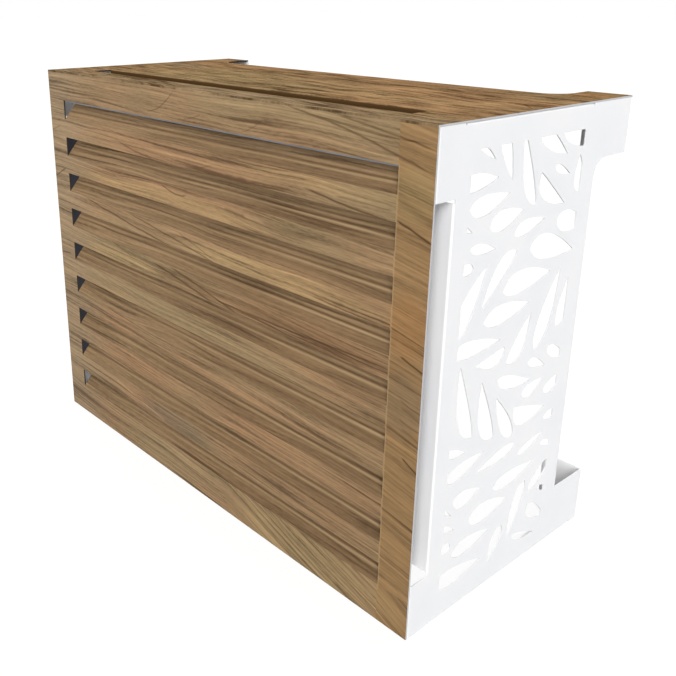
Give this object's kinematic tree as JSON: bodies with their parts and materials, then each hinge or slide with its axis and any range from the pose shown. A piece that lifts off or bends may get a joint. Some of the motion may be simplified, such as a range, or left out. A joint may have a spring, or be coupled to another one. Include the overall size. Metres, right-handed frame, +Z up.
{
  "type": "air conditioner cover",
  "caption": "Free-standing cover for an outdoor air conditioner unit: louvred wood-effect front and slotted roof on white side panels with leaf-shaped cut-outs, open at the back and below.",
  "frame": {"origin": "centre of the footprint at floor level, bottom centre of the bounding box", "axes": "+Z up, the louvred front faces -Y, the open back faces +Y, +X is to the right seen from the front, along the longest side"},
  "size_m": [1.06, 0.5, 0.8],
  "materials": {
    "wood_effect": "satin powder coat with a printed wood grain",
    "white_coat": "fine-textured matt white powder coat",
    "aluminium": "mill finish",
    "stainless": "plain stainless steel"
  },
  "bodies": {
    "root": {"front_panel": "wood_effect", "roof_panel": "wood_effect", "side_panel_left": "white_coat", "side_panel_right": "white_coat", "top_front_angle": "aluminium", "bottom_rail": "aluminium", "roof_rear_angle": "aluminium", "front_corner_studs": "aluminium", "front_corner_washers": "stainless", "front_corner_nuts": "stainless", "roof_side_studs": "aluminium", "roof_side_washers": "stainless", "roof_side_nuts": "stainless", "angle_front_studs": "aluminium", "angle_front_washers": "stainless", "angle_front_nuts": "stainless", "angle_roof_studs": "aluminium", "angle_roof_washers": "stainless", "angle_roof_nuts": "stainless", "bottom_rail_studs": "aluminium", "bottom_rail_washers": "stainless", "bottom_rail_nuts": "stainless", "rear_angle_studs": "aluminium", "rear_angle_washers": "stainless", "rear_angle_nuts": "stainless"}
  },
  "joints": []
}
